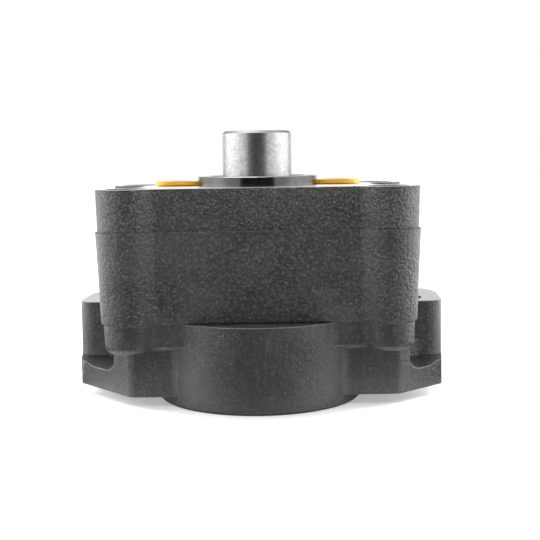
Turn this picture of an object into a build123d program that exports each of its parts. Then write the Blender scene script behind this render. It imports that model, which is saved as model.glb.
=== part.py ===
"""Balanced hydraulic vane pump, shaft upwards.

Millimetres. Z is the shaft axis and points up, X runs through the two mounting ears, and -Y is the front.
The origin is the centre of the barrel's lower face, on which the pump stands.
"""
from build123d import *
import math
import os

overcut = 1.0             # cutters run past what they cut by this much
touch = 0.01              # points nearer than this are taken as the same

# Heights
flange_z = 3.7            # underside of the ears
pocket_z = 11.3           # floor of the pockets in the ears
plate_z = 20.2            # underside of the rear cover's lobed plate
plate_height = 9.8        # lobed plate of the rear cover
ear_rise = 4.4            # machined tops of the ears, above the plate
pilot_height = 3.5        # boss round the shaft, above the front face
stub_length = 16.0        # shaft end, above the boss

# Lobed plan shared by the three castings
lobe_radius = 10.9
lobe_out = 2.7            # lobe centres, out from the waist
lobe_in = 5.8             # lobe centres, in from the front and back
waist_out = 4.4           # waist, out from the barrel
depth_out = 6.0           # front and back, out from the cavity
front_blend = 4.0         # between lobe and front or back face
side_blend = 6.0          # between lobe and waist
cover_step = 0.45         # front cover stands inside the housing's edge
rear_step = 2.0           # rear cover's plate stands inside the housing's edge
cast_draft = 2.2          # degrees, housing and rear plate
cover_draft = 1.0         # degrees, front cover
cover_chamfer = 0.15
edge_round = 0.8
plate_round = 2.6

# Boss round the shaft
pilot_radius = 21.6
pilot_chamfer = 0.25

# Barrel and ears of the rear cover
barrel_wall = 13.6        # barrel, out from the cavity
barrel_chamfer = 1.0
barrel_blend = 5.0        # between barrel and flange walls
plate_blend = 7.0         # between barrel and the plate's front and back
wall_half = 23.4          # flange walls, front and back
ear_turn = -4.0           # degrees, the ears' line from the X axis
bolt_reach = 15.6         # bolt holes, out from the barrel
bolt_margin = 13.3        # ears' flat ends, out from the bolt holes
bolt_hole_radius = 6.5
bolt_hole_back = 4.0      # behind the ears' line
ear_corner = 3.5          # where the 45 degree front faces would meet the ears' line, out from the ends
ear_back = 30.0           # behind the ears' line
ear_back_out = 2.8        # round back corners of the ears, out from their flat ends
ear_end_round = 3.0
ear_back_round = 4.0
apex_round = 4.0
column_front = 5.6        # front face of the column over the pocket, ahead of the ears' line
column_round = 6.0
column_length = 21.5
column_foot_inner = 36.0
column_gap = 1.4          # ear column to housing lobe
pocket_reach = 14.3       # pockets, in from the ears' ends
pocket_shift = 1.6        # right-hand pocket's inner wall, outwards, and the left-hand one's, inwards
pocket_round = 4.6
pocket_fillet = 4.0

# Cover screws
screw_radius = 4.0
screw_head_radius = 6.5
screw_head_height = 8.0
screw_head_sink = 1.0
screw_socket_flats = 6.0
screw_socket_depth = 4.0
screw_hole_floor = 1.2
screw_end_gap = 0.8
counterbore_clearance = 0.7
screw_head_chamfer = 0.5
screw_clearance = 0.4
thread_clearance = 0.05

# Shaft
shaft_radius = 12.5
shaft_chamfer = 0.9
stub_groove_depth = 0.4
stub_groove_width = 1.0
stub_groove_drop = 0.3
collar_radius = 14.2
collar_height = 1.8
neck_radius = 11.5
spline_radius = 9.4
spline_root_radius = 8.3
spline_teeth = 12
spline_clearance = 0.05
journal_radius = 8.0
journal_chamfer = 0.6
shaft_bottom_z = 8.0
shaft_end_gap = 1.0

# Ball bearing, 25 x 42 x 9
bearing_radius = 21.0
bearing_width = 9.0
bearing_fit = 0.02
bearing_end_gap = 0.5     # front plate to the snap ring under the bearing
race_wall = 2.6
ball_radius = 2.75
ball_count = 12
ball_clearance = 0.08
cage_half_thickness = 0.8
cage_half_height = 3.7
cage_clearance = 0.15
snap_ring_height = 1.5
snap_ring_width = 2.4
snap_ring_gap_angle = 50.0
snap_groove_depth = 1.0
shaft_ring_height = 1.2
shaft_ring_radius = 14.3
shaft_ring_depth = 0.6
groove_clearance = 0.05

# Shaft seal, 25 x 35 x 7
seal_radius = 17.5
seal_width = 7.0
seal_recess = 0.2
seal_bottom_gap = 0.3
seal_case = 2.0
seal_web = 1.4
seal_lip_z_drop = 4.2
seal_lip_clearance = 0.03
seal_lip_height = 0.3
seal_lip_thickness = 0.9
seal_mouth_gap = 0.6       # round the shaft, above the lip
seal_mouth_depth = 0.8
seal_web_gap = 1.1
garter_radius = 0.6

# Cartridge
cavity_radius = 24.0
cartridge_clearance = 0.05
front_plate_height = 6.0
cam_ring_height = 18.0
pressure_plate_height = 10.0
spring_height = 6.3       # disc spring between the chamber floor and the pressure plate
cam_wall = 5.0            # cam ring, where it is thinnest
vane_lift = 1.6           # cam's long half axis less its short one
rotor_clearance = 0.4     # rotor to the cam's short half axis
rotor_side_clearance = 0.05
vane_count = 10
vane_thickness = 1.8
vane_root_wall = 2.5      # rotor between the spline and the vanes' roots
vane_tip_drop = 0.1
vane_clearance = 0.03
vane_tip_round = 0.4
slot_root_radius = 1.2
plate_bore_clearance = 0.7
rear_plate_bore_clearance = 0.6
kidney_out = 0.2          # kidney ports' middle, out from the rotor
kidney_half_width = 1.3
kidney_sweep = 36.0
port_angle = 45.0         # inlets and outlets, from the cam's long axis
inlet_notch_overlap = 1.0 # inlet notches' inner edge, in from the rotor's rim
inlet_notch_depth = 2.5
dowel_radius = 1.5
dowel_inset = 3.5         # dowels, in from the cavity
dowel_clearance = 0.03
dowel_blind = 3.0
dowel_end_gap = 0.2
spring_inner_radius = 12.0
spring_inset = 5.5        # disc spring's rim, in from the cavity
spring_thickness = 1.3
plate_seal_section = 0.8
plate_seal_rise = 4.5

# Rear needle bearing, 16 x 22 x 12
cup_radius = 11.0
cup_wall = 0.95
cup_length = 12.0
cup_fit = 0.02
cup_seat = 1.0
cup_lip_clearance = 0.3
cup_bottom_z = 9.0
cup_cover = 0.5           # cup's top to the chamber floor
roller_radius = 0.95
roller_count = 16
roller_inset = 1.2

# Ports, passages and plugs
port_out = 5.2            # ports' centres, out from the cavity
port_y = 10.0
port_radius = 7.0
port_depth = 10.8
inlet_passage_radius = 5.5
outlet_passage_radius = 3.6
gallery_depth = 2.5
gallery_height = 7.0
outlet_link_width = 5.0
plug_flange_radius = 8.7
plug_flange_thickness = 1.4
plug_lift = 0.3
plug_length = 9.0
plug_wall = 1.2
plug_clearance = 0.05
plug_taper = 1.0

# Seals in the housing's two joint faces
joint_seal_section = 0.8
joint_seal_inset = 2.9    # in from the front and back
joint_seal_reach = 10.0   # past the ports' centres
passage_seal_radius = 4.8
seal_groove_clearance = 0.15

# Worked out from the values above
barrel_radius = cavity_radius + barrel_wall
depth_half = cavity_radius + depth_out
waist_half = barrel_radius + waist_out
lobe_x = waist_half + lobe_out
lobe_y = depth_half - lobe_in
bolt_radius = barrel_radius + bolt_reach
ear_end = bolt_radius + bolt_margin
ear_diagonal = ear_end + ear_corner
ear_round_radius = ear_end + ear_back_out
ear_back_x = math.sqrt(ear_round_radius ** 2 - ear_back ** 2)
column_inner = ear_end - column_length
rear_joint_z = plate_z + plate_height
ear_top_z = rear_joint_z + ear_rise
chamber_floor_z = cup_bottom_z + cup_length + cup_cover
pressure_plate_z = chamber_floor_z + spring_height
cam_ring_z = pressure_plate_z + pressure_plate_height
front_plate_z = cam_ring_z + cam_ring_height
front_joint_z = front_plate_z + front_plate_height
bearing_bottom_z = front_joint_z + bearing_end_gap + snap_ring_height
bearing_top_z = bearing_bottom_z + bearing_width
bearing_mid_z = (bearing_top_z + bearing_bottom_z) / 2
pilot_top_z = bearing_top_z + seal_width
front_face_z = pilot_top_z - pilot_height
shaft_top_z = pilot_top_z + stub_length
ball_circle = (shaft_radius + bearing_radius) / 2
cartridge_radius = cavity_radius - cartridge_clearance
cam_major_radius = cavity_radius - cam_wall
cam_minor_radius = cam_major_radius - vane_lift
rotor_radius = cam_minor_radius - rotor_clearance
vane_length = rotor_radius - vane_tip_drop - spline_radius - vane_root_wall
kidney_radius = rotor_radius + kidney_out
inlet_notch_radius = rotor_radius - inlet_notch_overlap
plate_bore_radius = neck_radius + plate_bore_clearance
rear_plate_bore_radius = journal_radius + rear_plate_bore_clearance
dowel_circle = cavity_radius - dowel_inset
spring_outer_radius = cavity_radius - spring_inset
gallery_radius = cavity_radius + gallery_depth
port_x = cavity_radius + port_out
joint_seal_half_width = depth_half - joint_seal_inset
joint_seal_half_length = port_x + joint_seal_reach
screw_head_top_z = front_face_z - screw_head_sink
screw_seat_z = screw_head_top_z - screw_head_height
screw_tip_z = plate_z + screw_hole_floor + screw_end_gap
counterbore_radius = screw_head_radius + counterbore_clearance
screw_hole_radius = screw_radius + screw_clearance
dowel_bottom_z = chamber_floor_z - dowel_blind
dowel_top_z = front_plate_z + dowel_blind
roller_circle = journal_radius + (cup_radius - cup_wall - journal_radius) / 2
joint_groove_depth = 2 * joint_seal_section


def cylinder(radius, bottom, top, x=0.0, y=0.0):
    """Upright cylinder between two heights."""
    return Pos(x, y, bottom) * extrude(Circle(radius), amount=top - bottom)


def ring(outer, inner, bottom, top, x=0.0, y=0.0):
    """Upright tube between two heights."""
    return cylinder(outer, bottom, top, x, y) - cylinder(inner, bottom - overcut, top + overcut, x, y)


def revolved(points):
    """Solid turned from a closed outline of (radius, height) points."""
    return revolve(Plane.XZ * make_face(Polyline(*points, close=True)), axis=Axis.Z)


def torus(major, minor, height):
    """Ring of round section."""
    return Pos(0, 0, height) * Torus(major, minor)


def lobe_centres():
    """The four corners that carry the cover screws."""
    return [(sx * lobe_x, sy * lobe_y) for sx in (-1, 1) for sy in (-1, 1)]


def lobed_face(inset):
    """Waisted plan with a round lobe at each corner, set in from the housing's edge."""
    plan = Rectangle(2 * (waist_half - inset), 2 * (depth_half - inset))
    for x, y in lobe_centres():
        plan += Pos(x, y) * Circle(lobe_radius - inset)
    on_faces = [v for v in plan.vertices() if abs(abs(v.Y) - depth_half + inset) < touch]
    plan = fillet(on_faces, front_blend)
    on_sides = [v for v in plan.vertices() if abs(abs(v.X) - waist_half + inset) < touch]
    on_sides = [v for v in on_sides if abs(v.Y) < lobe_y]
    return fillet(on_sides, side_blend)


def lobed_block(inset, bottom, top, draft):
    """Casting of lobed plan, largest at its top and drawn in towards its bottom."""
    plan = Pos(0, 0, top) * lobed_face(inset)
    return extrude(plan, amount=top - bottom, dir=(0, 0, -1), taper=draft)


def passage_centre(side):
    return side * port_x, port_y


def build_front_cover():
    body = lobed_block(cover_step, front_joint_z, front_face_z, cover_draft)
    top_edges = body.edges().group_by(Axis.Z)[-1]
    body = chamfer(top_edges, cover_chamfer)
    boss = cylinder(pilot_radius, front_face_z, pilot_top_z)
    body += chamfer(boss.edges().group_by(Axis.Z)[-1], pilot_chamfer)
    body -= cylinder(bearing_radius + bearing_fit, front_joint_z - overcut, bearing_top_z)
    body -= cylinder(seal_radius + bearing_fit, bearing_top_z - overcut, pilot_top_z + overcut)
    groove_radius = bearing_radius + snap_groove_depth
    body -= cylinder(groove_radius, bearing_bottom_z - snap_ring_height - groove_clearance, bearing_bottom_z)
    for x, y in lobe_centres():
        body -= cylinder(counterbore_radius, screw_seat_z, front_face_z + overcut, x, y)
        body -= cylinder(screw_hole_radius, front_joint_z - overcut, screw_seat_z + overcut, x, y)
    for side, radius in ((-1, inlet_passage_radius), (1, outlet_passage_radius)):
        x, y = passage_centre(side)
        body -= cylinder(port_radius, front_face_z - port_depth, front_face_z + overcut, x, y)
        body -= cylinder(radius, front_joint_z - overcut, front_face_z, x, y)
    return body


def joint_seal_path(z):
    """Racetrack round the cavity and both passages."""
    centre = joint_seal_half_length - joint_seal_half_width
    width = joint_seal_half_width
    lower = Line((-centre, -width), (centre, -width))
    right = ThreePointArc((centre, -width), (joint_seal_half_length, 0), (centre, width))
    upper = Line((centre, width), (-centre, width))
    left = ThreePointArc((-centre, width), (-joint_seal_half_length, 0), (-centre, -width))
    return Pos(0, 0, z) * Wire([lower, right, upper, left])


def racetrack(grow):
    length = 2 * (joint_seal_half_length + grow)
    return SlotOverall(length, 2 * (joint_seal_half_width + grow))


def joint_groove(bottom):
    half = joint_seal_section + seal_groove_clearance
    plan = racetrack(half) - racetrack(-half)
    return Pos(0, 0, bottom) * extrude(plan, amount=joint_groove_depth)


def passage_groove(bottom):
    x, y = passage_centre(1)
    half = joint_seal_section + seal_groove_clearance
    top = bottom + joint_groove_depth
    return ring(passage_seal_radius + half, passage_seal_radius - half, bottom, top, x, y)


def build_cam_housing():
    body = lobed_block(0, rear_joint_z, front_joint_z, cast_draft)
    body = fillet(body.edges().group_by(Axis.Z)[0], edge_round)
    body -= cylinder(cavity_radius, rear_joint_z - overcut, front_joint_z + overcut)
    gallery_z = front_plate_z - gallery_height / 2
    body -= cylinder(gallery_radius, gallery_z, gallery_z + gallery_height)
    for x, y in lobe_centres():
        body -= cylinder(screw_hole_radius, rear_joint_z - overcut, front_joint_z + overcut, x, y)
    x, y = passage_centre(-1)
    body -= cylinder(inlet_passage_radius, gallery_z, front_joint_z + overcut, x, y)
    x, y = passage_centre(1)
    body -= cylinder(outlet_passage_radius, rear_joint_z - overcut, front_joint_z + overcut, x, y)
    for bottom in (rear_joint_z, front_joint_z - joint_groove_depth):
        body -= joint_groove(bottom)
        body -= passage_groove(bottom)
    return body


def turned(side, x, y):
    """A point given along and across the ears' line, x outwards."""
    point = Vector(side * x, y).rotate(Axis.Z, ear_turn)
    return point.X, point.Y


def apex_distance(side):
    """How far out along the ears' line the diagonal face meets the flange's front wall."""
    angle = math.radians(ear_turn)
    return (ear_diagonal * math.cos(angle) - wall_half) / (math.cos(angle) + side * math.sin(angle))


def at_point(plan, x, y):
    """The plan's corners that lie on a point."""
    return [v for v in plan.vertices() if math.hypot(v.X - x, v.Y - y) < touch]


def flange_plan():
    """Plan of the flange: straight walls, 45 degree front faces and flat ends, joined to the barrel."""
    plan = Circle(barrel_radius)
    for side in (-1, 1):
        apex = apex_distance(side)
        outline = Polyline(
            (0, -wall_half),
            turned(side, apex, apex - ear_diagonal),
            turned(side, ear_end, ear_end - ear_diagonal),
            turned(side, ear_end, ear_back),
            turned(side, column_inner, ear_back),
            (side * column_foot_inner, wall_half),
            (0, wall_half),
            close=True,
        )
        plan += make_face(outline) & Circle(ear_round_radius)
    seams = [v for v in plan.vertices() if abs(math.hypot(v.X, v.Y) - barrel_radius) < touch]
    plan = fillet(seams, barrel_blend)
    for side in (-1, 1):
        apex = apex_distance(side)
        plan = fillet(at_point(plan, *turned(side, apex, apex - ear_diagonal)), apex_round)
        plan = fillet(at_point(plan, *turned(side, ear_end, ear_end - ear_diagonal)), ear_end_round)
        plan = fillet(at_point(plan, *turned(side, ear_back_x, ear_back)), ear_back_round)
    return plan


def column_plan(inner):
    """Plan of the right-hand ear over its pocket."""
    block = Pos((inner + ear_end) / 2, (ear_back - column_front) / 2)
    block *= Rectangle(ear_end - inner, ear_back + column_front)
    plan = block & Circle(ear_round_radius)
    return fillet(at_point(plan, ear_back_x, ear_back), ear_back_round)


def pocket_cutter(side):
    """Space in front of the ear's column on that side, drawn on the right and round at its foot."""
    far = 2 * ear_end
    inner = ear_end - pocket_reach + side * pocket_shift
    corner_x = ear_end - column_round
    corner_y = column_round - column_front
    mid = column_round * math.sqrt(0.5)
    start = (inner, -column_front)
    bend = (corner_x + mid, corner_y - mid)
    edges = [
        Line(start, (corner_x, -column_front)),
        ThreePointArc((corner_x, -column_front), bend, (ear_end, corner_y)),
        Line((ear_end, corner_y), (far, corner_y)),
        Line((far, corner_y), (far, -far)),
        Line((far, -far), (inner, -far)),
        Line((inner, -far), start),
    ]
    plan = make_face(Wire(edges))
    plan = fillet(at_point(plan, *start), pocket_round)
    cutter = Pos(0, 0, pocket_z) * extrude(plan, amount=ear_top_z)
    foot = cutter.edges().group_by(Axis.Z)[0]
    near = [e for e in foot if e.center().X < ear_end + overcut and e.center().Y > -far / 2]
    return fillet(near, pocket_fillet)


def on_ear(side, shape):
    """A shape drawn for the right-hand ear, put on the ear of that side."""
    if side < 0:
        shape = mirror(shape, about=Plane.YZ)
    return Rot(0, 0, ear_turn) * shape


def build_rear_cover():
    plate_plan = lobed_face(rear_step) + Circle(barrel_radius)
    seams = [v for v in plate_plan.vertices() if abs(math.hypot(v.X, v.Y) - barrel_radius) < touch]
    plate_plan = fillet(seams, plate_blend)
    plate = extrude(Pos(0, 0, rear_joint_z) * plate_plan, amount=rear_joint_z - plate_z, dir=(0, 0, -1),
                    taper=cast_draft)
    plate = fillet(plate.edges().group_by(Axis.Z)[0], plate_round)
    barrel = cylinder(barrel_radius, 0, rear_joint_z)
    barrel = chamfer(barrel.edges().group_by(Axis.Z)[0], barrel_chamfer)
    body = Pos(0, 0, flange_z) * extrude(flange_plan(), amount=plate_z - flange_z)
    low = Pos(0, 0, plate_z) * extrude(column_plan(column_foot_inner), amount=rear_joint_z - plate_z)
    high = Pos(0, 0, rear_joint_z) * extrude(column_plan(column_inner), amount=ear_top_z - rear_joint_z)
    for side in (-1, 1):
        body += on_ear(side, low + high)
        body -= on_ear(side, pocket_cutter(side))
    for x, y in lobe_centres():
        body -= cylinder(lobe_radius + column_gap, rear_joint_z, ear_top_z + overcut, x, y)
    body += barrel
    body += plate
    hole = cylinder(bolt_hole_radius, 0, ear_top_z + overcut, bolt_radius, bolt_hole_back)
    for side in (-1, 1):
        body -= on_ear(side, hole)
    for x, y in lobe_centres():
        body -= cylinder(screw_radius, plate_z + screw_hole_floor, rear_joint_z + overcut, x, y)
    body -= cylinder(cavity_radius, chamber_floor_z, rear_joint_z + overcut)
    body -= cylinder(cup_radius + cup_fit, cup_bottom_z, chamber_floor_z + overcut)
    body -= cylinder(cup_radius - cup_seat, shaft_bottom_z - shaft_end_gap, chamber_floor_z)
    for y in (-dowel_circle, dowel_circle):
        body -= cylinder(dowel_radius + dowel_clearance, dowel_bottom_z, chamber_floor_z + overcut, 0, y)
    x, y = passage_centre(1)
    body -= cylinder(outlet_passage_radius, chamber_floor_z, rear_joint_z + overcut, x, y)
    link_length = math.hypot(port_x, port_y)
    link = Pos(link_length / 2, 0, chamber_floor_z + outlet_link_width / 2)
    link *= Box(link_length, outlet_link_width, outlet_link_width)
    body -= Rot(0, 0, math.degrees(math.atan2(port_y, port_x))) * link
    return body


def build_cover_screws():
    screws = []
    for x, y in lobe_centres():
        screw = cylinder(screw_head_radius, screw_seat_z, screw_head_top_z, x, y)
        screw = chamfer(screw.edges().group_by(Axis.Z)[-1], screw_head_chamfer)
        socket = RegularPolygon(screw_socket_flats / 2, 6, major_radius=False)
        socket_z = screw_head_top_z - screw_socket_depth
        screw -= Pos(x, y, socket_z) * extrude(socket, amount=screw_socket_depth + overcut)
        screw += cylinder(screw_radius - thread_clearance, screw_tip_z, screw_seat_z, x, y)
        screws.append(screw)
    return Compound(screws)


def spline_face(grow):
    """Twelve straight-sided teeth on a round core."""
    plan = Circle(spline_root_radius + grow)
    tooth_width = math.pi * spline_radius / spline_teeth + 2 * grow
    tooth = Pos((spline_radius + grow) / 2, 0) * Rectangle(spline_radius + grow, tooth_width)
    tooth &= Circle(spline_radius + grow)
    for i in range(spline_teeth):
        plan += Rot(0, 0, i * 360 / spline_teeth) * tooth
    return plan


def build_drive_shaft():
    groove_top = pilot_top_z - stub_groove_drop
    collar_bottom = bearing_bottom_z - collar_height
    shaft = cylinder(journal_radius, shaft_bottom_z, cam_ring_z)
    shaft = chamfer(shaft.edges().group_by(Axis.Z)[0], journal_chamfer)
    shaft += Pos(0, 0, cam_ring_z) * extrude(spline_face(0), amount=cam_ring_height)
    shaft += cylinder(neck_radius, front_plate_z, collar_bottom)
    shaft += cylinder(collar_radius, collar_bottom, bearing_bottom_z)
    upper = cylinder(shaft_radius, bearing_bottom_z, shaft_top_z)
    shaft += chamfer(upper.edges().group_by(Axis.Z)[-1], shaft_chamfer)
    groove_bottom = groove_top - stub_groove_width
    shaft -= ring(shaft_radius + overcut, shaft_radius - stub_groove_depth, groove_bottom, groove_top)
    ring_top = bearing_top_z + shaft_ring_height + groove_clearance
    shaft -= ring(shaft_radius + overcut, shaft_radius - shaft_ring_depth, bearing_top_z, ring_top)
    return shaft


def ball_groove():
    return torus(ball_circle, ball_radius + ball_clearance, bearing_mid_z)


def build_bearing_outer_race():
    race = ring(bearing_radius, bearing_radius - race_wall, bearing_bottom_z, bearing_top_z)
    return race - ball_groove()


def build_bearing_inner_race():
    race = ring(shaft_radius + race_wall, shaft_radius, bearing_bottom_z, bearing_top_z)
    return race - ball_groove()


def ball_places():
    return [Rot(0, 0, i * 360 / ball_count) * Pos(ball_circle, 0, bearing_mid_z) for i in range(ball_count)]


def build_bearing_balls():
    return Compound([place * Sphere(ball_radius) for place in ball_places()])


def build_bearing_cage():
    outer = ball_circle + cage_half_thickness
    inner = ball_circle - cage_half_thickness
    cage = ring(outer, inner, bearing_mid_z - cage_half_height, bearing_mid_z + cage_half_height)
    for place in ball_places():
        cage -= place * Rot(0, 90, 0) * Cylinder(ball_radius + cage_clearance, 4 * cage_half_thickness)
    return cage


def open_ring(outer, inner, bottom, height, gap_angle):
    """Snap ring: a flat ring with a gap towards +X."""
    body = ring(outer, inner, bottom, bottom + height)
    half = math.radians(gap_angle / 2)
    far = 2 * outer
    rise = far * math.tan(half)
    wedge = make_face(Polyline((0, 0), (far, -rise), (far, rise), close=True))
    return body - Pos(0, 0, bottom - overcut) * extrude(wedge, amount=height + 2 * overcut)


def build_bearing_snap_ring():
    outer = bearing_radius + snap_groove_depth - 2 * groove_clearance
    bottom = bearing_bottom_z - snap_ring_height
    return open_ring(outer, outer - snap_ring_width, bottom, snap_ring_height, snap_ring_gap_angle)


def build_shaft_snap_ring():
    inner = shaft_radius - shaft_ring_depth + groove_clearance
    return open_ring(shaft_ring_radius, inner, bearing_top_z, shaft_ring_height, snap_ring_gap_angle)


def seal_levels():
    """Bottom, top and lip height of the shaft seal."""
    top = pilot_top_z - seal_recess
    return bearing_top_z + seal_bottom_gap, top, top - seal_lip_z_drop


def build_shaft_seal():
    bottom, top, lip = seal_levels()
    lip_radius = shaft_radius + seal_lip_clearance
    inner_wall = seal_radius - seal_case
    return revolved([
        (seal_radius, bottom),
        (seal_radius, top),
        (lip_radius + seal_mouth_gap, top),
        (lip_radius + seal_mouth_gap, top - seal_mouth_depth),
        (lip_radius, lip + seal_lip_height),
        (lip_radius, lip),
        (lip_radius + seal_lip_thickness, lip - seal_lip_height),
        (lip_radius + seal_web_gap, top - seal_web),
        (inner_wall, top - seal_web),
        (inner_wall, bottom),
    ])


def build_seal_garter_spring():
    _, _, lip = seal_levels()
    inner = shaft_radius + seal_lip_clearance + seal_web_gap
    return torus(inner + 2 * garter_radius, garter_radius, lip)


def sector(start):
    """Wedge of the plan that one port takes up, from the centre out past the cavity."""
    far = 2 * cavity_radius
    first = Vector(far, 0).rotate(Axis.Z, start)
    last = Vector(far, 0).rotate(Axis.Z, start + kidney_sweep)
    return make_face(Polyline((0, 0), (first.X, first.Y), (last.X, last.Y), close=True))


def kidney(radius, start):
    """Curved slot on a circle, as a plan."""
    arc = CenterArc((0, 0), radius, start, kidney_sweep)
    band = Circle(radius + kidney_half_width) - Circle(radius - kidney_half_width)
    plan = band & sector(start)
    for end in (arc @ 0, arc @ 1):
        plan += Pos(end.X, end.Y) * Circle(kidney_half_width)
    return plan


def dowel_holes(bottom, top):
    radius = dowel_radius + dowel_clearance
    return [cylinder(radius, bottom, top, 0, y) for y in (-dowel_circle, dowel_circle)]


def build_front_plate():
    plate = ring(cartridge_radius, plate_bore_radius, front_plate_z, front_joint_z)
    band = Circle(cavity_radius + overcut) - Circle(inlet_notch_radius)
    for index in (0, 1):
        plan = band & sector(inlet_start(index))
        plate -= Pos(0, 0, front_plate_z - overcut) * extrude(plan, amount=inlet_notch_depth + overcut)
    for hole in dowel_holes(front_plate_z - overcut, dowel_top_z + dowel_end_gap):
        plate -= hole
    return plate


def inlet_start(index):
    return 180 * index - port_angle - kidney_sweep / 2


def outlet_start(index):
    return 180 * index + port_angle - kidney_sweep / 2


def build_cam_ring():
    plan = Circle(cartridge_radius) - Ellipse(cam_major_radius, cam_minor_radius)
    cam = Pos(0, 0, cam_ring_z) * extrude(plan, amount=cam_ring_height)
    for hole in dowel_holes(cam_ring_z - overcut, front_plate_z + overcut):
        cam -= hole
    return cam


def build_rotor():
    bottom = cam_ring_z + rotor_side_clearance
    top = front_plate_z - rotor_side_clearance
    plan = Circle(rotor_radius) - spline_face(spline_clearance)
    slot_inner = rotor_radius - vane_tip_drop - vane_length
    slot_width = vane_thickness + 2 * vane_clearance
    slot = Pos(slot_inner + rotor_radius / 2, 0) * Rectangle(rotor_radius, slot_width)
    slot += Pos(slot_inner, 0) * Circle(slot_root_radius)
    for i in range(vane_count):
        plan -= Rot(0, 0, (i + 0.5) * 360 / vane_count) * slot
    return Pos(0, 0, bottom) * extrude(plan, amount=top - bottom)


def build_vanes():
    bottom = cam_ring_z + rotor_side_clearance
    height = cam_ring_height - 2 * rotor_side_clearance
    middle = rotor_radius - vane_tip_drop - vane_length / 2
    vane = Box(vane_length, vane_thickness, height)
    vane = fillet(vane.edges().filter_by(Axis.Z).group_by(Axis.X)[-1], vane_tip_round)
    places = [Rot(0, 0, (i + 0.5) * 360 / vane_count) for i in range(vane_count)]
    return Compound([place * Pos(middle, 0, bottom + height / 2) * vane for place in places])


def build_pressure_plate():
    plate = ring(cartridge_radius, rear_plate_bore_radius, pressure_plate_z, cam_ring_z)
    for index in (0, 1):
        plan = kidney(kidney_radius, outlet_start(index))
        depth = pressure_plate_height + 2 * overcut
        plate -= Pos(0, 0, pressure_plate_z - overcut) * extrude(plan, amount=depth)
    for hole in dowel_holes(pressure_plate_z - overcut, cam_ring_z + overcut):
        plate -= hole
    groove_half = plate_seal_section + seal_groove_clearance
    seal_z = pressure_plate_z + plate_seal_rise
    groove_root = cavity_radius - 2 * plate_seal_section
    plate -= ring(cavity_radius + overcut, groove_root, seal_z - groove_half, seal_z + groove_half)
    return plate


def build_plate_seal():
    seal_z = pressure_plate_z + plate_seal_rise
    return torus(cavity_radius - plate_seal_section, plate_seal_section, seal_z)


def build_plate_spring():
    """Disc spring between the chamber floor and the pressure plate."""
    return revolved([
        (spring_outer_radius, chamber_floor_z),
        (spring_outer_radius, chamber_floor_z + spring_thickness),
        (spring_inner_radius, pressure_plate_z),
        (spring_inner_radius, pressure_plate_z - spring_thickness),
    ])


def build_cartridge_dowels():
    return Compound([cylinder(dowel_radius, dowel_bottom_z, dowel_top_z, 0, y)
                     for y in (-dowel_circle, dowel_circle)])


def build_rear_bearing_cup():
    top = cup_bottom_z + cup_length
    cup = ring(cup_radius, cup_radius - cup_wall, cup_bottom_z, top)
    for bottom in (cup_bottom_z, top - cup_wall):
        cup += ring(cup_radius, journal_radius + cup_lip_clearance, bottom, bottom + cup_wall)
    return cup


def build_rear_bearing_rollers():
    bottom = cup_bottom_z + roller_inset
    top = cup_bottom_z + cup_length - roller_inset
    places = [Rot(0, 0, i * 360 / roller_count) for i in range(roller_count)]
    return Compound([place * cylinder(roller_radius, bottom, top, roller_circle) for place in places])


def build_joint_seal(z):
    path = joint_seal_path(z)
    section = Plane(origin=path @ 0, z_dir=path % 0) * Circle(joint_seal_section)
    return sweep(section, path=path)


def build_passage_seals():
    x, y = passage_centre(1)
    low = rear_joint_z + joint_seal_section
    high = front_joint_z - joint_seal_section
    return Compound([Pos(x, y, 0) * torus(passage_seal_radius, joint_seal_section, z) for z in (low, high)])


def build_port_plug(side):
    """Push-in transport plug: a flange on a hollow, slightly tapered body."""
    x, y = passage_centre(side)
    flange_bottom = front_face_z + plug_lift
    flange_top = flange_bottom + plug_flange_thickness
    tip = flange_bottom - plug_length
    outer = port_radius - plug_clearance
    inner = outer - plug_wall
    outline = [
        (plug_flange_radius, flange_bottom),
        (plug_flange_radius, flange_top),
        (inner, flange_top),
        (inner, tip + plug_wall),
        (0, tip + plug_wall),
        (0, tip),
        (outer - plug_taper, tip),
        (outer, tip + plug_length / 2),
        (outer, flange_bottom),
    ]
    return Pos(x, y, 0) * revolved(outline)


nodes = {
    "front_cover": build_front_cover(),
    "cam_housing": build_cam_housing(),
    "rear_cover": build_rear_cover(),
    "cover_screws": build_cover_screws(),
    "drive_shaft": build_drive_shaft(),
    "bearing_outer_race": build_bearing_outer_race(),
    "bearing_inner_race": build_bearing_inner_race(),
    "bearing_balls": build_bearing_balls(),
    "bearing_cage": build_bearing_cage(),
    "bearing_snap_ring": build_bearing_snap_ring(),
    "shaft_snap_ring": build_shaft_snap_ring(),
    "shaft_seal": build_shaft_seal(),
    "seal_garter_spring": build_seal_garter_spring(),
    "front_plate": build_front_plate(),
    "cam_ring": build_cam_ring(),
    "rotor": build_rotor(),
    "vanes": build_vanes(),
    "pressure_plate": build_pressure_plate(),
    "plate_spring": build_plate_spring(),
    "plate_seal": build_plate_seal(),
    "cartridge_dowels": build_cartridge_dowels(),
    "rear_bearing_cup": build_rear_bearing_cup(),
    "rear_bearing_rollers": build_rear_bearing_rollers(),
    "front_joint_seal": build_joint_seal(front_joint_z - joint_seal_section),
    "rear_joint_seal": build_joint_seal(rear_joint_z + joint_seal_section),
    "passage_seals": build_passage_seals(),
    "inlet_port_plug": build_port_plug(-1),
    "outlet_port_plug": build_port_plug(1),
}

os.makedirs("parts", exist_ok=True)
for name, shape in nodes.items():
    export_step(shape, f"parts/{name}.step")
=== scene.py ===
import bpy
import math
import numpy as np
from mathutils import Matrix, Vector


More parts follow.
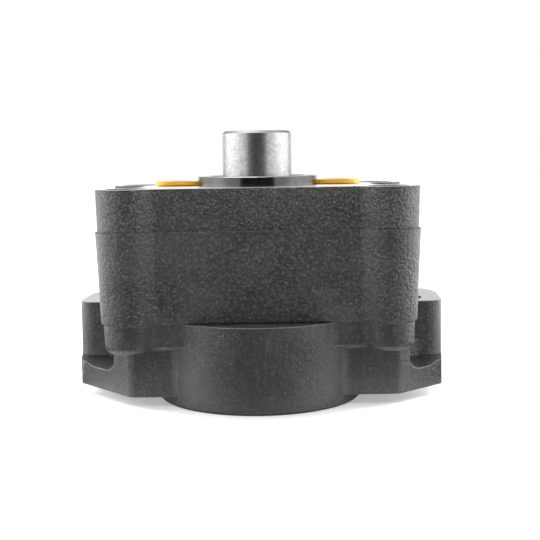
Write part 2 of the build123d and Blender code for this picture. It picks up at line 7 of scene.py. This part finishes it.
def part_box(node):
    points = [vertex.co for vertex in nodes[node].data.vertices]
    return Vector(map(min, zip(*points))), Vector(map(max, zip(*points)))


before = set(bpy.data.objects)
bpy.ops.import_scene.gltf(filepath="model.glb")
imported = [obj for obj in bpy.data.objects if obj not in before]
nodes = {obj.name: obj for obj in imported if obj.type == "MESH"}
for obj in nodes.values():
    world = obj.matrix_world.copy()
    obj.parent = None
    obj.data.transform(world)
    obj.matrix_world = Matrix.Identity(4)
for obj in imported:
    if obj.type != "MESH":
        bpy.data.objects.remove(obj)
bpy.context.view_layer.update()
print("frame loaded:", len(nodes), "nodes")

noiseLow, noiseHigh = 0.3, 0.7   # nearly all of a noise pattern lies between these
noiseGrain = {"roughness": 0.55, "bevelSamples": 6}
meshCare = {"weld": 0.000002, "sharpAngle": 32}


def addNode(tree, kind, values=None, **settings):
    # one shader node, with its settings and its unlinked inputs filled in
    node = tree.nodes.new(kind)
    for name, value in settings.items():
        setattr(node, name, value)
    for name, value in (values or {}).items():
        if hasattr(value, "links"):
            tree.links.new(value, node.inputs[name])
        else:
            node.inputs[name].default_value = value
    return node


def startMaterial(name):
    # an empty material with its shader, and the piece's own coordinates in metres
    material = bpy.data.materials.new(name)
    material.use_nodes = True
    tree = material.node_tree
    tree.nodes.clear()
    shader = addNode(tree, "ShaderNodeBsdfPrincipled")
    addNode(tree, "ShaderNodeOutputMaterial", {"Surface": shader.outputs["BSDF"]})
    coords = addNode(tree, "ShaderNodeTexCoord").outputs["Object"]
    return material, tree, shader, coords


def grain(tree, coords, size, stretch=(1, 1, 1), detail=2.0, warp=0.0):
    # noise whose grains are size metres across, drawn out along each axis by stretch and curled by warp
    scale = [1 / (size * s) for s in stretch]
    placed = addNode(tree, "ShaderNodeMapping", {"Vector": coords, "Scale": scale}).outputs["Vector"]
    values = {"Vector": placed, "Scale": 1.0, "Detail": detail, "Distortion": warp,
              "Roughness": noiseGrain["roughness"]}
    return addNode(tree, "ShaderNodeTexNoise", values).outputs["Fac"]


def cells(tree, coords, size, smooth=0.6):
    # rounded pebbles of size metres: distance to the nearest of many scattered points, softened
    values = {"Vector": coords, "Scale": 1 / size, "Smoothness": smooth}
    return addNode(tree, "ShaderNodeTexVoronoi", values, feature="SMOOTH_F1").outputs["Distance"]


def between(tree, value, low, high, toLow=0.0, toHigh=1.0):
    # straight line from toLow at low to toHigh at high, held at both ends
    values = {"Value": value, "From Min": low, "From Max": high, "To Min": toLow, "To Max": toHigh}
    return addNode(tree, "ShaderNodeMapRange", values).outputs["Result"]


def blendColor(tree, amount, first, second):
    # first colour at 0, second at 1
    node = addNode(tree, "ShaderNodeMix", data_type="RGBA")
    for index, value in ((0, amount), (6, first), (7, second)):
        if hasattr(value, "links"):
            tree.links.new(value, node.inputs[index])
        elif index == 0:
            node.inputs[index].default_value = value
        else:
            node.inputs[index].default_value = (*value, 1.0)
    return node.outputs[2]


def calc(tree, operation, first, second=0.0):
    # one sum on two numbers or sockets
    node = addNode(tree, "ShaderNodeMath", operation=operation)
    for index, value in enumerate((first, second)):
        if hasattr(value, "links"):
            tree.links.new(value, node.inputs[index])
        else:
            node.inputs[index].default_value = value
    return node.outputs[0]


def relief(tree, height, depth, under=None):
    # bump of that depth in metres, on top of an earlier normal
    values = {"Height": height, "Distance": depth, "Strength": 1.0}
    if under is not None:
        values["Normal"] = under
    return addNode(tree, "ShaderNodeBump", values).outputs["Normal"]


def softEdges(tree, radius):
    # the normal turned near sharp edges, as if they were rounded by radius
    bevel = addNode(tree, "ShaderNodeBevel", {"Radius": radius}, samples=noiseGrain["bevelSamples"])
    return bevel.outputs["Normal"]


castLimits = {
    "drift": (0.35, 0.7), "patch": (0.4, 0.6), "patchLeast": 0.3, "streak": (0.5, 0.75),
    "paintedGlintGrain": (0.60, 0.72), "edgeWearAndHighlight": (0.995, 0.93), "wearPatch": (0.4, 0.6), "wearLeast": 0.2,
}


def castIron(name, look):
    # sand-cast skin. height = part of the curled grain + part of the pebbles; the tone runs from the
    # hollows to the tops of that height, over slow drifts and streaks along Z, with scattered pale
    # glints that are painted highlights, and pale edges that are partly wear and partly painted edge
    # highlights, where the edge mark = how far the rounded normal turns from the true one
    material, tree, shader, coords = startMaterial(name)
    pebble = calc(tree, "SUBTRACT", 1.0, cells(tree, coords, look["pebble"]))
    fine = grain(tree, coords, look["fine"], detail=3.0, warp=look["warp"])
    height = calc(tree, "ADD", calc(tree, "MULTIPLY", pebble, look["pebblePart"]),
                  calc(tree, "MULTIPLY", fine, 1 - look["pebblePart"]))
    drift = grain(tree, coords, look["drift"], detail=3.0)
    paintedGlintGrain = grain(tree, coords, look["paintedGlintGrain"], detail=2.0)
    streak = grain(tree, coords, look["streakWidth"], stretch=(1, 1, look["streakLength"]), detail=2.0)
    raised = between(tree, height, look["hollow"], look["top"])
    tone = blendColor(tree, raised, look["dark"], look["light"])
    aged = between(tree, drift, *castLimits["drift"], 0.0, look["driftTone"])
    tone = blendColor(tree, aged, tone, look["worn"])
    patch = between(tree, drift, *castLimits["patch"], castLimits["patchLeast"], 1.0)
    streaked = between(tree, streak, *castLimits["streak"], 0.0, look["streakTone"])
    streaked = calc(tree, "MULTIPLY", streaked, patch)
    tone = blendColor(tree, streaked, tone, look["worn"])
    # pale glints painted into the colour: painted highlights
    paintedGlint = between(tree, paintedGlintGrain, *castLimits["paintedGlintGrain"], 0.0, look["paintedGlintTone"])
    tone = blendColor(tree, paintedGlint, tone, look["pale"])
    rounded = softEdges(tree, look["edge"])
    true = addNode(tree, "ShaderNodeNewGeometry").outputs["Normal"]
    turn = addNode(tree, "ShaderNodeVectorMath", {0: rounded, 1: true}, operation="DOT_PRODUCT")
    # pale on every sharp edge, convex and concave: partly wear, partly painted edge highlight
    worn = between(tree, turn.outputs["Value"], *castLimits["edgeWearAndHighlight"])
    broken = between(tree, fine, *castLimits["wearPatch"], castLimits["wearLeast"], 1.0)
    worn = calc(tree, "MULTIPLY", worn, broken)
    tone = blendColor(tree, calc(tree, "MULTIPLY", worn, look["edgeTone"]), tone, look["pale"])
    tree.links.new(tone, shader.inputs["Base Color"])
    rough = between(tree, fine, noiseLow, noiseHigh, look["roughLow"], look["roughHigh"])
    tree.links.new(rough, shader.inputs["Roughness"])
    normal = relief(tree, height, look["depth"], rounded)
    normal = relief(tree, streak, look["streakDepth"], normal)
    tree.links.new(normal, shader.inputs["Normal"])
    shader.inputs["Specular IOR Level"].default_value = look["specular"]
    return material


def turnedRings(tree, coords, size):
    # tool marks on a turned end face: noise of the distance from the Z axis alone, in rings size metres wide
    flat = addNode(tree, "ShaderNodeMapping", {"Vector": coords, "Scale": (1, 1, 0)}).outputs["Vector"]
    away = addNode(tree, "ShaderNodeVectorMath", {0: flat}, operation="LENGTH").outputs["Value"]
    values = {"W": calc(tree, "DIVIDE", away, size), "Scale": 1.0, "Detail": 3.0}
    return addNode(tree, "ShaderNodeTexNoise", values, noise_dimensions="1D").outputs["Fac"]


lineLimits = (0.35, 0.65)   # tool lines show between these heights of their noise


def machined(name, look):
    # cut metal: bright steel with fine tool lines, either in rings or drawn out along one axis, and
    # slow drifts of tone
    material, tree, shader, coords = startMaterial(name)
    if look["stretch"]:
        lines = grain(tree, coords, look["line"], stretch=look["stretch"], detail=3.0)
    else:
        lines = turnedRings(tree, coords, look["line"])
    drift = grain(tree, coords, look["drift"], detail=2.0)
    tone = blendColor(tree, between(tree, drift, noiseLow, noiseHigh), look["dark"], look["light"])
    marks = between(tree, lines, *lineLimits, 0.0, look["lineTone"])
    tone = blendColor(tree, marks, tone, look["lineColor"])
    tree.links.new(tone, shader.inputs["Base Color"])
    rough = between(tree, lines, noiseLow, noiseHigh, look["roughLow"], look["roughHigh"])
    tree.links.new(rough, shader.inputs["Roughness"])
    normal = softEdges(tree, look["edge"])
    tree.links.new(relief(tree, lines, look["depth"], normal), shader.inputs["Normal"])
    shader.inputs["Metallic"].default_value = look["metal"]
    return material


def moulded(name, look):
    # plastic or rubber: even colour with a faint cloudiness, and a fine soft grain
    material, tree, shader, coords = startMaterial(name)
    cloud = grain(tree, coords, look["cloud"], detail=2.0)
    fine = grain(tree, coords, look["fine"], detail=2.0)
    tone = blendColor(tree, between(tree, cloud, noiseLow, noiseHigh), look["dark"], look["light"])
    tree.links.new(tone, shader.inputs["Base Color"])
    rough = between(tree, fine, noiseLow, noiseHigh, look["roughLow"], look["roughHigh"])
    tree.links.new(rough, shader.inputs["Roughness"])
    normal = softEdges(tree, look["edge"])
    tree.links.new(relief(tree, fine, look["depth"], normal), shader.inputs["Normal"])
    shader.inputs["Subsurface Weight"].default_value = look["glow"]
    shader.inputs["Subsurface Scale"].default_value = look["glowDepth"]
    return material


def finish(name, *materials):
    # welds the piece's loose triangles and shades it smooth between sharp edges
    piece = nodes[name]
    mesh = piece.data
    mesh.materials.clear()
    for material in materials:
        mesh.materials.append(material)
    count = len(mesh.polygons)
    mesh.polygons.foreach_set("material_index", np.zeros(count, np.int32))
    mesh.polygons.foreach_set("use_smooth", np.ones(count, bool))
    weld = piece.modifiers.new("weld", "WELD")
    weld.merge_threshold = meshCare["weld"]
    split = piece.modifiers.new("sharpEdges", "EDGE_SPLIT")
    split.split_angle = math.radians(meshCare["sharpAngle"])
    mesh.update()
    return piece


def faceData(piece):
    # centre and normal of every face, as two (n, 3) arrays
    count = len(piece.data.polygons)
    centre = np.zeros(count * 3)
    normal = np.zeros(count * 3)
    piece.data.polygons.foreach_get("center", centre)
    piece.data.polygons.foreach_get("normal", normal)
    return centre.reshape(-1, 3), normal.reshape(-1, 3)


def paint(piece, chosen, index):
    # gives the chosen faces the piece's material of that index
    current = np.zeros(len(piece.data.polygons), np.int32)
    piece.data.polygons.foreach_get("material_index", current)
    current[chosen] = index
    piece.data.polygons.foreach_set("material_index", current)
    piece.data.update()


# front cover: coarse casting with a machined top and a turned boss, whose top face is a darker copy of the
# machined top: painted shade
coverLook = {
    "dark": (0.016, 0.016, 0.0138), "light": (0.074, 0.073, 0.065), "worn": (0.11, 0.11, 0.097),
    "pale": (0.36, 0.36, 0.34), "pebble": 0.0012, "pebblePart": 0.4, "fine": 0.0008, "warp": 0.9,
    "hollow": 0.52, "top": 0.70, "depth": 0.00066, "drift": 0.012, "driftTone": 0.25,
    "paintedGlintGrain": 0.0006, "paintedGlintTone": 0.5, "edgeTone": 0.25,
    "streakWidth": 0.0006, "streakLength": 12, "streakTone": 0.0, "streakDepth": 0.0,
    "roughLow": 0.28, "roughHigh": 0.42, "edge": 0.00015, "specular": 0.9,
}
topLook = {
    "dark": (0.56, 0.56, 0.55), "light": (0.66, 0.66, 0.65), "line": 0.00035, "stretch": (30, 1, 1),
    "lineColor": (0.46, 0.46, 0.45), "lineTone": 0.4, "drift": 0.012, "depth": 0.000006,
    "roughLow": 0.22, "roughHigh": 0.36, "edge": 0.00015, "metal": 1.0,
}
shadedBossTopLook = dict(topLook, dark=(0.36, 0.36, 0.35), light=(0.46, 0.46, 0.45), lineColor=(0.28, 0.28, 0.27),
                   stretch=None, line=0.0002, roughLow=0.25, roughHigh=0.4)
bossLook = {
    "dark": (0.12, 0.12, 0.115), "light": (0.18, 0.18, 0.17), "line": 0.00012, "stretch": (60, 60, 1),
    "lineColor": (0.10, 0.10, 0.10), "lineTone": 0.4, "drift": 0.006, "depth": 0.000001,
    "roughLow": 0.10, "roughHigh": 0.20, "edge": 0.0001, "metal": 1.0,
}
coverSplit = {"bossHeight": 0.0035, "bossRadius": 0.0215, "faceBand": 0.00005, "topBand": 0.00001,
              "level": 0.9}
coverCasting = castIron("coverCasting", coverLook)
machinedTop = machined("machinedTop", topLook)
turnedBoss = machined("turnedBoss", bossLook)
cover = finish("front_cover", coverCasting, machinedTop, turnedBoss, machined("bossTopPaintedShade", shadedBossTopLook))
centre, normal = faceData(cover)
height = centre[:, 2]
level = normal[:, 2] > coverSplit["level"]
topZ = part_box("front_cover")[1].z
faceZ = topZ - coverSplit["bossHeight"]
fromAxis = np.hypot(centre[:, 0], centre[:, 1])
paint(cover, (height > faceZ - coverSplit["faceBand"]) & level, 1)
paint(cover, (height > faceZ + coverSplit["topBand"]) | (fromAxis < coverSplit["bossRadius"]), 2)
# the boss's top face: darker copy of the machined top, painted shade
paint(cover, (height > topZ - coverSplit["topBand"]) & level, 3)
print("front cover finished")

# cam housing: the same skin with flatter relief, and the upward ledges at the joints painted dark: painted
# shade under the cover
housingLook = dict(coverLook, fine=0.0009, pebblePart=0.3, depth=0.00056, drift=0.016, hollow=0.50, top=0.66,
                   dark=(0.023, 0.0226, 0.0195), light=(0.080, 0.079, 0.069), paintedGlintTone=0.2, edgeTone=0.0,
                   edge=0.0003)
shadedLedgeLook = dict(housingLook, dark=(0.012, 0.012, 0.010), light=(0.03, 0.03, 0.026), paintedGlintTone=0.0,
                 roughLow=0.6, roughHigh=0.8, specular=0.2)
housingSplit = {"level": 0.99}
housing = finish("cam_housing", castIron("housingCasting", housingLook), castIron("paintedShadeLedge", shadedLedgeLook))
centre, normal = faceData(housing)
# the upward faces get the dark ledge finish: painted shade under the cover
paint(housing, normal[:, 2] > housingSplit["level"], 1)
print("cam housing finished")

# rear cover: smoother skin with upright streaks, machined ear tops and undersides, and pocket floors painted
# dark as painted shade
rearLook = dict(coverLook, fine=0.0008, pebblePart=0.3, depth=0.00028, drift=0.016, hollow=0.50, top=0.66,
                dark=(0.024, 0.024, 0.021), light=(0.056, 0.0555, 0.0485), paintedGlintTone=0.2, edgeTone=0.6,
                streakWidth=0.0009, streakTone=0.35, streakDepth=0.00003, edge=0.0006)
pocketShadeLook = dict(rearLook, dark=(0.014, 0.014, 0.012), light=(0.034, 0.034, 0.03), paintedGlintTone=0.1,
                  roughLow=0.55, roughHigh=0.75, specular=0.3, streakTone=0.0)
earLook = dict(topLook, dark=(0.34, 0.34, 0.33), light=(0.42, 0.42, 0.41), lineColor=(0.28, 0.28, 0.27),
               roughLow=0.36, roughHigh=0.5)
rearSplit = {"level": 0.99, "pocketSlope": 0.2, "pocketTop": 0.0185, "topBand": 0.0001}
rear = finish("rear_cover", castIron("rearCasting", rearLook), machined("machinedEars", earLook),
              castIron("pocketPaintedShade", pocketShadeLook))
centre, normal = faceData(rear)
height, slope = centre[:, 2], normal[:, 2]
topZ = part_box("rear_cover")[1].z
# pocket floors: darker copy of the casting, painted shade
paint(rear, (slope > rearSplit["pocketSlope"]) & (height < rearSplit["pocketTop"]), 2)
paint(rear, (slope > rearSplit["level"]) & (height > topZ - rearSplit["topBand"]), 1)
paint(rear, slope < -rearSplit["level"], 1)
print("rear cover finished")

# drive shaft: ground steel with fine lines round it, and a turned end
shaftLook = {
    "dark": (0.40, 0.40, 0.39), "light": (0.62, 0.62, 0.61), "line": 0.00012, "stretch": (60, 60, 1),
    "lineColor": (0.34, 0.34, 0.33), "lineTone": 0.35, "drift": 0.0012, "depth": 0.0000005,
    "roughLow": 0.27, "roughHigh": 0.36, "edge": 0.0001, "metal": 1.0,
}
endLook = dict(shaftLook, dark=(0.10, 0.10, 0.098), light=(0.15, 0.15, 0.145), stretch=None, line=0.00025,
               drift=0.006, roughLow=0.4, roughHigh=0.55)
shaftSplit = {"endDepth": 0.003, "slope": 0.2}
shaft = finish("drive_shaft", machined("groundSteel", shaftLook), machined("turnedEnd", endLook))
centre, normal = faceData(shaft)
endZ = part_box("drive_shaft")[1].z - shaftSplit["endDepth"]
paint(shaft, (centre[:, 2] > endZ) & (normal[:, 2] > shaftSplit["slope"]), 1)
print("drive shaft finished")

# hidden running gear and cartridge
bearingLook = dict(shaftLook, roughLow=0.08, roughHigh=0.16, depth=0.000001)
cageLook = dict(shaftLook, dark=(0.62, 0.42, 0.17), light=(0.72, 0.50, 0.22), lineColor=(0.5, 0.33, 0.12))
plateLook = dict(shaftLook, dark=(0.40, 0.40, 0.40), light=(0.50, 0.50, 0.49), stretch=(20, 1, 1))
springLook = dict(shaftLook, dark=(0.12, 0.12, 0.125), light=(0.18, 0.18, 0.18), lineColor=(0.08, 0.08, 0.08))
bearingSteel = machined("bearingSteel", bearingLook)
plateSteel = machined("plateSteel", plateLook)
springSteel = machined("springSteel", springLook)
for name in ("bearing_outer_race", "bearing_inner_race", "bearing_balls", "cartridge_dowels",
             "rear_bearing_cup", "rear_bearing_rollers"):
    finish(name, bearingSteel)
for name in ("front_plate", "cam_ring", "rotor", "vanes", "pressure_plate"):
    finish(name, plateSteel)
for name in ("bearing_snap_ring", "shaft_snap_ring", "seal_garter_spring", "plate_spring"):
    finish(name, springSteel)
finish("bearing_cage", machined("cageBrass", cageLook))

# seals
rubberLook = {"dark": (0.012, 0.012, 0.012), "light": (0.022, 0.022, 0.022), "cloud": 0.006, "fine": 0.0003,
              "depth": 0.00001, "roughLow": 0.45, "roughHigh": 0.6, "edge": 0.0001, "glow": 0.0,
              "glowDepth": 0.001}
sealRubber = moulded("sealRubber", rubberLook)
for name in ("shaft_seal", "plate_seal", "front_joint_seal", "rear_joint_seal", "passage_seals"):
    finish(name, sealRubber)

# cover screws: black oxide
screwLook = dict(shaftLook, dark=(0.025, 0.025, 0.027), light=(0.045, 0.045, 0.047),
                 lineColor=(0.02, 0.02, 0.02), roughLow=0.3, roughHigh=0.45, metal=0.7)
finish("cover_screws", machined("blackOxide", screwLook))

# port plugs: yellow moulded plastic
plugLook = {"dark": (0.80, 0.40, 0.02), "light": (0.90, 0.50, 0.04), "cloud": 0.006, "fine": 0.0004,
            "depth": 0.00001, "roughLow": 0.3, "roughHigh": 0.45, "edge": 0.0003, "glow": 0.15,
            "glowDepth": 0.001}
plugPlastic = moulded("plugPlastic", plugLook)
for name in ("inlet_port_plug", "outlet_port_plug"):
    finish(name, plugPlastic)
print("all nodes have their finishes")

# camera: in front of the object, a little above its middle and looking slightly down
cameraLook = {"distance": 0.365, "height": 0.0865, "pitch": 6.45, "roll": 0.85, "lens": 66.67, "sensor": 36.0,
              "shift": 0.021}
camera = bpy.data.objects.new("camera", bpy.data.cameras.new("camera"))
bpy.context.scene.collection.objects.link(camera)
camera.data.lens = cameraLook["lens"]
camera.data.sensor_width = cameraLook["sensor"]
camera.data.shift_x = cameraLook["shift"]
tilt = Matrix.Rotation(math.radians(90 - cameraLook["pitch"]), 4, "X")
roll = Matrix.Rotation(math.radians(-cameraLook["roll"]), 4, "Z")
place = Matrix.Translation((0, -cameraLook["distance"], cameraLook["height"]))
camera.matrix_world = place @ tilt @ roll
bpy.context.scene.camera = camera

# floor: pale, at full white away from the object for the camera, with the object's shadow on it
floorLook = {"size": 6.0, "color": 0.82, "mottle": 0.01, "mottleSize": 0.05, "rough": 0.9, "specular": 0.1,
             "lift": 0.36, "farLift": 1.0, "near": 0.12, "far": 0.6, "mirrorPart": 0.2}
floorMesh = bpy.data.meshes.new("floor")
half = floorLook["size"] / 2
corners = np.array([(-half, -half, 0), (half, -half, 0), (half, half, 0), (-half, half, 0)])
floorMesh.from_pydata(corners.tolist(), [], [(0, 1, 2, 3)])
floor = bpy.data.objects.new("floor", floorMesh)
bpy.context.scene.collection.objects.link(floor)
floorPaint, tree, shader, coords = startMaterial("floorPaint")
mottle = between(tree, grain(tree, coords, floorLook["mottleSize"]), noiseLow, noiseHigh)
tones = [[floorLook["color"] + side * floorLook["mottle"]] * 3 for side in (-1, 1)]
tree.links.new(blendColor(tree, mottle, *tones), shader.inputs["Base Color"])
shader.inputs["Roughness"].default_value = floorLook["rough"]
shader.inputs["Specular IOR Level"].default_value = floorLook["specular"]
path = addNode(tree, "ShaderNodeLightPath").outputs
mirrored = calc(tree, "MAXIMUM", path["Is Glossy Ray"], path["Is Transmission Ray"])
seen = calc(tree, "MAXIMUM", path["Is Camera Ray"], calc(tree, "MULTIPLY", mirrored, floorLook["mirrorPart"]))
away = addNode(tree, "ShaderNodeVectorMath", {0: coords}, operation="LENGTH").outputs["Value"]
lift = between(tree, away, floorLook["near"], floorLook["far"], floorLook["lift"], floorLook["farLift"])
shader.inputs["Emission Color"].default_value = (1, 1, 1, 1)
tree.links.new(calc(tree, "MULTIPLY", seen, lift), shader.inputs["Emission Strength"])
floorMesh.materials.append(floorPaint)

# dark opening in front of the object and a dark sheet on the floor around it, seen only in reflections: they
# paint dark surroundings into the object's reflections
openingLook = {"front": 0.40, "nearFront": 0.05, "nearSide": 0.075, "back": 0.15, "offFloor": 0.0005,
               "halfWidth": 0.25, "reflectedSheetHalf": 0.17, "height": 0.6, "level": 0.02, "spread": 0.5,
               "sheetMottle": 0.05}
openingMesh = bpy.data.meshes.new("opening")
half, front, top = openingLook["halfWidth"], -openingLook["front"], openingLook["height"]
low, back, sheetHalf = openingLook["offFloor"], openingLook["back"], openingLook["reflectedSheetHalf"]
nearFront, nearSide = -openingLook["nearFront"], openingLook["nearSide"]
corners = np.array([
    (-half, front, low), (half, front, low), (half, front, top), (-half, front, top),
    (-sheetHalf, nearFront, low), (sheetHalf, nearFront, low),
    (-nearSide, nearFront, low), (nearSide, nearFront, low),
    (-sheetHalf, back, low), (sheetHalf, back, low), (-nearSide, back, low), (nearSide, back, low),
    (-sheetHalf, front, low), (sheetHalf, front, low),
])
panels = [(0, 1, 2, 3), (12, 13, 5, 4), (4, 6, 10, 8), (7, 5, 9, 11)]
openingMesh.from_pydata(corners.tolist(), [], panels)
opening = bpy.data.objects.new("opening", openingMesh)
bpy.context.scene.collection.objects.link(opening)
for kind in ("camera", "diffuse", "shadow", "volume_scatter"):
    setattr(opening, "visible_" + kind, False)
openingPaint, tree, shader, coords = startMaterial("openingPaint")
tones = [openingLook["level"] * (1 + side * openingLook["spread"]) for side in (-1, 1)]
shade = between(tree, grain(tree, coords, openingLook["sheetMottle"]), noiseLow, noiseHigh, *tones)
tree.links.new(blendColor(tree, shade, (0, 0, 0), (1, 1, 1)), shader.inputs["Base Color"])
shader.inputs["Specular IOR Level"].default_value = 0.0
shader.inputs["Roughness"].default_value = 1.0
openingMesh.materials.append(openingPaint)

# studio: an even white tent, brighter in reflections than in the light it gives and brightest at its
# sides, with a narrow dark seam behind the object to each side
tentLook = {"level": 0.12, "mirrorLevel": 1.4, "sideLevel": 2.6, "sideAngle": 95.0, "sideHalf": 20.0,
            "seamAngle": 138.0, "seamHalf": 3.0, "seamLevel": 0.25}
world = bpy.data.worlds.new("tent")
bpy.context.scene.world = world
world.use_nodes = True
tree = world.node_tree
tree.nodes.clear()
direction = addNode(tree, "ShaderNodeTexCoord").outputs["Generated"]
toFront = addNode(tree, "ShaderNodeVectorMath", {0: direction, 1: (0, -1, 0)}, operation="DOT_PRODUCT")
angle = calc(tree, "MULTIPLY", calc(tree, "ARCCOSINE", toFront.outputs["Value"]), 180 / math.pi)   # degrees
fromSeam = calc(tree, "ABSOLUTE", calc(tree, "SUBTRACT", angle, tentLook["seamAngle"]))
seamHalf, sideHalf = tentLook["seamHalf"], tentLook["sideHalf"]
seam = between(tree, fromSeam, seamHalf, 2 * seamHalf, tentLook["seamLevel"], 1.0)
fromSide = calc(tree, "ABSOLUTE", calc(tree, "SUBTRACT", angle, tentLook["sideAngle"]))
mirrored = between(tree, fromSide, sideHalf, 2 * sideHalf, tentLook["sideLevel"], tentLook["mirrorLevel"])
mirrored = calc(tree, "MULTIPLY", mirrored, seam)
path = addNode(tree, "ShaderNodeLightPath").outputs
inMirror = calc(tree, "MAXIMUM", path["Is Glossy Ray"], path["Is Transmission Ray"])
levels = {0: inMirror, 2: tentLook["level"], 3: mirrored}
shown = addNode(tree, "ShaderNodeMix", levels, data_type="FLOAT").outputs[0]
shown = calc(tree, "MAXIMUM", shown, path["Is Camera Ray"])
background = addNode(tree, "ShaderNodeBackground", {"Strength": shown})
background.inputs["Color"].default_value = (1, 1, 1, 1)
addNode(tree, "ShaderNodeOutputWorld", {"Surface": background.outputs[0]})

# soft lamps, aimed at the object's middle: one overhead, one above the front, and one low strip to each
# side, a little behind the object and out of its reflections
lampLook = {
    "overhead": {"size": (0.5, 0.5), "at": (-0.20, 0.10, 0.8), "power": 4.5},
    "frontTop": {"size": (0.25, 0.25), "at": (0.08, -0.45, 0.65), "power": 1.8},
    "leftStrip": {"size": (0.35, 0.5), "at": (-0.58, 0.26, 0.28), "power": 9.0},
    "rightStrip": {"size": (0.35, 0.5), "at": (0.58, 0.26, 0.28), "power": 10.0},
}
lampAim = Vector((0, 0, 0.04))
for name, look in lampLook.items():
    lampData = bpy.data.lights.new(name, "AREA")
    lampData.shape = "RECTANGLE"
    lampData.size, lampData.size_y = look["size"]
    lampData.energy = look["power"]
    lamp = bpy.data.objects.new(name, lampData)
    bpy.context.scene.collection.objects.link(lamp)
    lamp.visible_glossy = "Strip" not in name
    lamp.location = look["at"]
    lamp.rotation_euler = (Vector(look["at"]) - lampAim).to_track_quat("Z", "Y").to_euler()

bpy.context.scene.view_settings.view_transform = "Standard"
print("camera, floor and lights in place")
